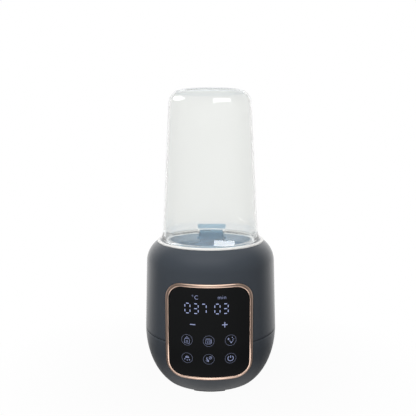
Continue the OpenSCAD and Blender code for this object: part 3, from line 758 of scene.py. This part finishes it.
def makeGland():
    g, face = glandShape, inletShape["face"]
    bore, sleeve, flange, end = g["bore"], g["sleeve"], g["flange"], g["end"]
    flangeTop = face + g["flangeThick"]
    outline = [(bore, g["start"]), (sleeve, g["start"]), (sleeve, face), (flange, face),
               (flange, flangeTop - g["chamfer"]), (flange - g["chamfer"], flangeTop),
               (sleeve + g["fillet"], flangeTop), (sleeve, flangeTop + g["fillet"])]
    down, up, over = g["ridgeMarks"]
    for ridge in range(g["ridges"], 0, -1):
        start = end - ridge * g["ridgeStep"]
        outline += [(sleeve, start), (sleeve - g["ridgeDeep"], start + down),
                    (sleeve - g["ridgeDeep"], start + up), (sleeve, start + over)]
    outline += [(sleeve, end - g["chamfer"]), (sleeve - g["chamfer"], end),
                (bore + g["mouthWide"], end), (bore, end - g["mouthDeep"])]
    bm = spinSection(outline, modelling["rodAround"])
    softenEdges(bm, g["edge"], angle=g["crease"])
    shift(turn(bm, -90, "X"), (0, 0, inletShape["height"]))
    return finishPiece("cordGland", bm, "gland_black", "base", ["cord_gland"])


# liner of the well, millimetres
linerShape = {"inner": 42.0, "outer": 43.6, "top": 137.9, "bottom": 27.2, "flange": 48.0,
              "flangeTop": 134.0, "flangeLow": 132.4, "ledge": 36.0, "ledgeTop": 39.6,
              "ledgeLow": 38.0, "edge": 0.3}


def makeLiner():
    w = linerShape
    outline = [(w["inner"], w["top"]), (w["outer"], w["top"]), (w["outer"], w["flangeTop"]),
               (w["flange"], w["flangeTop"]), (w["flange"], w["flangeLow"]),
               (w["outer"], w["flangeLow"]), (w["outer"], w["bottom"]), (w["inner"], w["bottom"]),
               (w["inner"], w["ledgeLow"]), (w["ledge"], w["ledgeLow"]),
               (w["ledge"], w["ledgeTop"]), (w["inner"], w["ledgeTop"])]
    bm = softenEdges(spinSection(outline), w["edge"])
    return finishPiece("wellLiner", bm, "liner_plastic", "base",
                       ["chamber_liner"])


makeGland()
makeLiner()
print("gland and liner made")

# lift-out basket with its stem and grip, millimetres and degrees
basketShape = {"outer": 39.2, "inner": 37.6, "foot": 39.6, "floor": 41.6, "floorTop": 43.2,
               "top": 127.0, "edge": 0.35, "slotHalf": 7.0, "slotLow": 52.6, "slotHigh": 116.0,
               "slotTrim": 0.01, "slotPast": 6.0, "slotSteps": 12,
               "slots": (0, 60, 120, 180, 240, 300), "drain": 5.0, "drainAt": 21.8,
               "drainSteps": 40, "middleDrain": 6.0, "middleSteps": 48, "drainDepth": 8.0,
               "stemAt": 90, "stemHalf": 12.0, "stemInset": 0.15, "stemDeep": 6.0, "stemSteps": 20,
               "neckLow": 138.4, "neckHigh": 140.4, "neckInset": 0.3, "neckEnd": 53.9,
               "gripHalf": 16.0, "gripFoot": 14.2, "gripFrom": 52.9, "gripThick": 2.0,
               "gripTop": 144.6, "gripLean": 3.5, "gripRound": 2.4, "gripSteps": 5,
               "gripEdge": 0.4}


# stem up the basket's back, neck out through the cover's notch, and the leaning grip
def basketHandle(b):
    inset = b["stemInset"]
    span = 2 * math.degrees(math.asin(b["stemHalf"] / b["outer"]))
    stem = spinBlock(b["inner"] + inset, b["outer"] - inset, b["top"] - b["stemDeep"],
                     b["neckHigh"], b["stemAt"] - span / 2, span, b["stemSteps"])
    neck = rectangle(-b["stemHalf"], b["stemHalf"], b["neckLow"], b["neckHigh"])
    neck = roundedSlab(neck, 0, b["inner"] + b["neckInset"], b["neckEnd"])
    for part in (stem, neck):
        softenEdges(part, b["edge"], angle=modelling["corner"])
    corners = [(-b["gripFoot"], b["neckLow"]), (b["gripFoot"], b["neckLow"]),
               (b["gripHalf"], b["gripTop"]), (-b["gripHalf"], b["gripTop"])]
    grip = roundedSlab(corners, b["gripRound"], b["gripFrom"], b["gripFrom"] + b["gripThick"],
                       b["gripSteps"])
    softenEdges(grip, b["gripEdge"], angle=modelling["corner"])
    for v in grip.verts:
        v.co.y += b["gripLean"] * (v.co.z - b["neckLow"]) / (b["gripTop"] - b["neckLow"])
    return stem, neck, grip


# a slot in the wall with a drain hole in the floor at each angle, and the middle drain
def basketCutters(b):
    cutters = bmesh.new()
    corners = rectangle(-b["slotHalf"], b["slotHalf"], b["slotLow"], b["slotHigh"])
    for angle in b["slots"]:
        slot = roundedSlab(corners, b["slotHalf"] - b["slotTrim"], b["inner"] - b["slotPast"],
                           b["outer"] + b["slotPast"], b["slotSteps"])
        hole = rod(b["drain"], b["drainDepth"], b["drainSteps"])
        addInto(slot, shift(hole, (0, b["drainAt"], b["floor"])))
        addInto(cutters, turn(slot, angle - 90, "Z"))
    middle = rod(b["middleDrain"], b["drainDepth"], b["middleSteps"])
    return addInto(cutters, shift(middle, (0, 0, b["floor"])))


def makeBasket():
    b = basketShape
    outline = [(b["outer"], b["foot"]), (b["outer"], b["top"]), (b["inner"], b["top"]),
               (b["inner"], b["floorTop"]), (0, b["floorTop"]), (0, b["floor"]),
               (b["inner"], b["floor"]), (b["inner"], b["foot"])]
    bm = softenEdges(spinSection(outline), b["edge"])
    for part in basketHandle(b):
        bm = combine(bm, part, "UNION")
    bm = combine(bm, basketCutters(b), "DIFFERENCE")
    return finishPiece("bottleBasket", bm, "basket_plastic", "basket",
                       ["bottle_basket"])


makeBasket()
print("basket made")

# steam cover, millimetres and degrees; the crown's limit and the limits of the painted shade line
# on its corner are shares of the crown's radius
coverShape = {"flange": 52.4, "foot": 138.0, "flangeTop": 139.8,
              "flareArcs": ((14, 5.5), (22, 41), (90, 2.2)), "flareSteps": 8,
              "wallFoot": 46.8, "taper": 3.1, "wall": 2.0, "wallGap": 2.0, "wallSteps": 12,
              "crown": 13.0, "top": 285.0, "crownSteps": 20, "insideSteps": 16,
              "ringOuter": 41.6, "ringInner": 40.0, "ringLow": 129.5, "ringSkin": 0.05,
              "notchHalf": 13.0, "notchTop": 140.8, "notchLow": 120.0, "notchFrom": 20.0,
              "notchTo": 70.0, "notchHighlightBand": 1.4, "highlightSide": 2.0, "lipUp": 4.0,
              "cloudFrom": 1.9, "rimFrom": 2.9, "crownFrom": 0.25, "shadeLineFrom": 0.33,
              "shadeLineTo": 0.48, "edge": 0.5, "edgeSteps": 3, "around": 320, "sharp": 45}
coverFinishes = ["cover_plastic", "cover_foot", "cover_cloud_and_painted_light", "cover_rim", "cover_crown"]


# flare from the wall down to the flange, where each arc ends at a tilt and has a radius
def flarePoints(c):
    points, tilt = [(c["wallFoot"], 0)], c["taper"]
    for end, radius in c["flareArcs"]:
        r, z = points[-1]
        wide, tall = radius * math.cos(math.radians(tilt)), radius * math.sin(math.radians(tilt))
        arc = arcPoints((r + wide, z + tall), radius, 180 + tilt, 180 + end, c["flareSteps"])
        points += arc[1:]
        tilt = end
    rise = c["flangeTop"] - points[-1][1]
    return [(r, z + rise) for r, z in reversed(points)]


def coverRadius(z):
    c = coverShape
    return c["wallFoot"] - (z - c["flareHigh"]) * math.tan(math.radians(c["taper"]))


# where the flare ends, the crown's arc has its middle, and the band round the notch that carries
# its painted highlight ends
def addCoverPlaces(c):
    lean = math.radians(c["taper"])
    c["flareHigh"], c["crownLow"] = flarePoints(c)[-1][1], c["top"] - c["crown"]
    crownStart = coverRadius(c["crownLow"] + c["crown"] * math.sin(lean))
    c["crownMiddle"] = crownStart - c["crown"] * math.cos(lean)
    c["lipHigh"], c["lipHalf"] = c["notchTop"] + c["notchHighlightBand"], c["notchHalf"] + c["notchHighlightBand"]


addCoverPlaces(coverShape)


def coverSection(c):
    crownAt = (c["crownMiddle"], c["crownLow"])
    inner = c["wall"] / math.cos(math.radians(c["taper"]))
    heights = spread(c["flareHigh"] + c["wallGap"], c["crownLow"] - c["wallGap"], c["wallSteps"])
    outline = [(c["flange"], c["foot"]), (c["flange"], c["flangeTop"])] + flarePoints(c)
    outline += [(coverRadius(z), z) for z in heights]
    outline += arcPoints(crownAt, c["crown"], c["taper"], 90, c["crownSteps"])
    outline += [(0, c["top"]), (0, c["top"] - c["wall"])]
    outline += arcPoints(crownAt, c["crown"] - c["wall"], 90, c["taper"], c["insideSteps"])
    outline += [(coverRadius(z) - inner, z) for z in reversed(heights)]
    outline += [(coverRadius(c["flangeTop"]) - inner, c["flangeTop"]),
                (c["ringInner"], c["flangeTop"]), (c["ringInner"], c["ringLow"]),
                (c["ringOuter"], c["ringLow"]), (c["ringOuter"], c["foot"])]
    return outline


# notch for the basket's stem, with a band round it that is cut free on the wall's inside, for the
# frosted finish that paints in the pale highlight of the notch's edge
def cutNotch(bm, c):
    corners = rectangle(-c["notchHalf"], c["notchHalf"], c["notchLow"], c["notchTop"])
    bm = combine(bm, roundedSlab(corners, 0, c["notchFrom"], c["notchTo"]), "DIFFERENCE")

    def nearNotch(face):
        x, y, z = face.calc_center_median()
        return y > 0 and z < c["flareHigh"] + c["lipUp"] and abs(x) < c["lipHalf"] + c["highlightSide"]

    cuts = [((0, 0, c["lipHigh"]), (0, 0, 1))]
    cuts += [((x, 0, 0), (1, 0, 0)) for x in (c["lipHalf"], -c["lipHalf"])]
    for place, normal in cuts:
        near = [f for f in bm.faces if nearNotch(f)]
        bounds = dict.fromkeys(part for f in near for part in (*f.edges, *f.verts))
        bmesh.ops.bisect_plane(bm, geom=near + list(bounds), plane_co=place, plane_no=normal)
    return bm


# the foot is paler, its ring and flare are cloudier and tinted blue to paint in light scattered
# from the basket, and its rim and underside are frosted; a frosted band round the notch paints in
# the pale highlight of its edge, and a cloudier band on the crown's corner paints in a soft line
# of shade
def coverFinishAt(place, c):
    far, z = place.xy.length, place.z
    if z > c["crownLow"] + c["crown"] * c["crownFrom"]:
        outward = (far - c["crownMiddle"]) / c["crown"]
        # a cloudier band on the crown's corner paints in a soft line of shade
        return "cover_cloud_and_painted_light" if c["shadeLineFrom"] < outward < c["shadeLineTo"] else "cover_crown"
    if z >= c["flareHigh"]:
        return "cover_plastic"
    onRim = far > c["wallFoot"] + c["rimFrom"]
    underneath = far > c["ringOuter"] and z < c["foot"] + c["edge"] / 2
    # a frosted band round the notch paints in the pale highlight of its edge
    paintedNotchHighlight = (place.y > 0 and abs(place.x) < c["lipHalf"]
               and c["ringOuter"] < far < c["wallFoot"] and c["flangeTop"] < z < c["lipHigh"])
    if onRim or underneath or paintedNotchHighlight:
        return "cover_rim"
    inRing = far < c["ringOuter"] + c["ringSkin"] and z < c["foot"]
    onFlare = far > c["wallFoot"] + c["cloudFrom"]
    return "cover_cloud_and_painted_light" if inRing or onFlare else "cover_foot"


def makeCover():
    c = coverShape
    bm = softenEdges(spinSection(coverSection(c), c["around"]), c["edge"], c["edgeSteps"])
    bm = cutNotch(bm, c)
    for face in bm.faces:
        finish = coverFinishAt(face.calc_center_median(), c)
        face.material_index = coverFinishes.index(finish)
    cover = finishPiece("steamCover", bm, coverFinishes[0], "cover",
                        ["sterilizing_cover"], c["sharp"])
    for finish in coverFinishes[1:]:
        cover.data.materials.append(finishes[finish])


makeCover()
print("cover made")


# one where the camera, a reflection or a see-through piece looks
def addLooking(tree):
    path = tree.nodes.new("ShaderNodeLightPath")
    looking = path.outputs["Is Camera Ray"]
    for ray in ("Is Glossy Ray", "Is Transmission Ray"):
        looking = addMath(tree, "MAXIMUM", looking, path.outputs[ray])
    return looking


# white studio floor, metres: a soft shadow shows near the object, and farther out it is plain
floorSet = {"size": 8.0, "height": -0.0002, "colour": (0.35, 0.35, 0.35), "glow": 0.96,
            "glowFrom": 0.06, "glowTo": 0.25}


def makeFloor():
    f = floorSet
    bm = bmesh.new()
    bmesh.ops.create_grid(bm, x_segments=1, y_segments=1, size=f["size"] / 2)
    floor = bpy.data.objects.new("floor", bmeshToMesh(shift(bm, (0, 0, f["height"])), "floor"))
    scene.collection.objects.link(floor)
    material = bpy.data.materials.new("floor_white")
    material.use_nodes = True
    tree = material.node_tree
    tree.nodes.clear()
    plain, glow, mixed, surface, where, far = [tree.nodes.new("ShaderNode" + kind) for kind in (
        "BsdfDiffuse", "Emission", "MixShader", "OutputMaterial", "TexCoord", "VectorMath")]
    plain.inputs["Color"].default_value = (*f["colour"], 1)
    far.operation = "LENGTH"
    tree.links.new(where.outputs["Object"], far.inputs[0])
    fading = addRange(tree, far.outputs["Value"], f["glowFrom"], f["glowTo"], f["glow"], 1.0)
    share = addMath(tree, "MULTIPLY", addLooking(tree), fading)
    for socket, source in zip(mixed.inputs, (share, plain.outputs[0], glow.outputs[0])):
        tree.links.new(source, socket)
    tree.links.new(mixed.outputs[0], surface.inputs["Surface"])
    floor.data.materials.append(material)
    floor.visible_glossy = False  # reflections find the room's own light below


# world: white for the camera and through the cover, a dim room for light, and for reflections a
# room that is dim in front and low down, lighter overhead and underneath, and white behind
roomSet = {"ambient": 0.14, "front": 0.15, "frontFrom": 0.2, "back": 1.0, "backFrom": 0.85,
           "top": 0.5, "topFrom": 0.5, "topTo": 0.95, "low": 0.22, "lowFrom": -0.22,
           "lowTo": -0.45, "under": 0.55, "underFrom": -0.55, "underTo": -0.9}


def makeRoom():
    r = roomSet
    world = bpy.data.worlds.new("studio")
    scene.world = world
    world.use_nodes = True
    tree = world.node_tree
    path, where, axes = [tree.nodes.new("ShaderNode" + kind) for kind in (
        "LightPath", "TexCoord", "SeparateXYZ")]
    tree.links.new(where.outputs["Generated"], axes.inputs[0])
    y, z = axes.outputs["Y"], axes.outputs["Z"]
    behind = addRange(tree, y, r["frontFrom"], r["backFrom"], r["front"], r["back"])
    above = addRange(tree, z, r["topFrom"], r["topTo"], r["front"], r["top"])
    lowDown = addRange(tree, z, r["lowTo"], r["lowFrom"], r["low"], 1.0)
    below = addRange(tree, z, r["underTo"], r["underFrom"], r["under"], 0.0)
    mirrored = addMath(tree, "MULTIPLY", addMath(tree, "MAXIMUM", behind, above), lowDown)
    mirrored = addMath(tree, "MAXIMUM", mirrored, below)

    def choose(ray, chosen, otherwise):
        node = tree.nodes.new("ShaderNodeMix")
        tree.links.new(path.outputs[ray], node.inputs["Factor"])
        for socket, value in ((node.inputs["A"], otherwise), (node.inputs["B"], chosen)):
            if isinstance(value, float):
                socket.default_value = value
            else:
                tree.links.new(value, socket)
        return node.outputs["Result"]

    level = choose("Is Glossy Ray", mirrored, r["ambient"])
    level = choose("Is Transmission Ray", 1.0, level)
    level = choose("Is Camera Ray", 1.0, level)
    background = tree.nodes["Background"]
    background.inputs["Color"].default_value = (1, 1, 1, 1)
    tree.links.new(level, background.inputs["Strength"])


# lamps: direction from a point just under the cover's crown, in degrees right of the front and
# upwards, distance and size in metres, watts, whether it shows in reflections, and the one piece
# it lights, where it doesn't light them all
lampTarget = Vector((0, 0, 0.27))
lamps = {
    "keyBox": {"right": 35, "up": 17.5, "away": 0.9, "shape": "RECTANGLE", "size": (0.8, 0.26),
               "power": 3.6, "mirrored": True, "lights": "steamCover"},
    "sideBox": {"right": -99, "up": 21, "away": 0.9, "shape": "ELLIPSE", "size": (0.85, 0.36),
                "power": 4.0, "mirrored": True, "lights": "steamCover"},
    "frontFill": {"right": -10, "up": 38, "away": 1.1, "shape": "RECTANGLE", "size": (1.6, 0.9),
                  "power": 14.0, "mirrored": False, "lights": None},
    "trimTop": {"right": 5, "up": 66, "away": 0.9, "shape": "RECTANGLE", "size": (1.0, 0.7),
                "power": 6.4, "mirrored": True, "lights": "panelBezel"},
    "trimLow": {"right": 0, "up": -68.5, "away": 0.286, "shape": "RECTANGLE", "size": (0.2, 0.07),
                "power": 0.065, "mirrored": True, "lights": "panelBezel"},
    "trimFront": {"right": 0, "up": -29, "away": 0.515, "shape": "RECTANGLE", "size": (0.3, 0.08),
                  "power": 0.16, "mirrored": True, "lights": "panelBezel"},
}


def makeLamps():
    for name, lamp in lamps.items():
        data = bpy.data.lights.new(name, "AREA")
        data.shape = lamp["shape"]
        data.size, data.size_y = lamp["size"]
        data.energy = lamp["power"]
        right, up = math.radians(lamp["right"]), math.radians(lamp["up"])
        toLamp = Vector((math.sin(right) * math.cos(up), -math.cos(right) * math.cos(up),
                         math.sin(up)))
        holder = bpy.data.objects.new(name, data)
        holder.location = lampTarget + toLamp * lamp["away"]
        holder.rotation_euler = (-toLamp).to_track_quat("-Z", "Y").to_euler()
        holder.visible_glossy, holder.visible_camera = lamp["mirrored"], False
        scene.collection.objects.link(holder)
        if lamp["lights"]:  # card lamps give the cover and the trim their highlights
            receivers = bpy.data.collections.new(name + "Lights")
            receivers.objects.link(bpy.data.objects[lamp["lights"]])
            holder.light_linking.receiver_collection = receivers


makeFloor()
makeRoom()
makeLamps()
print("studio made")
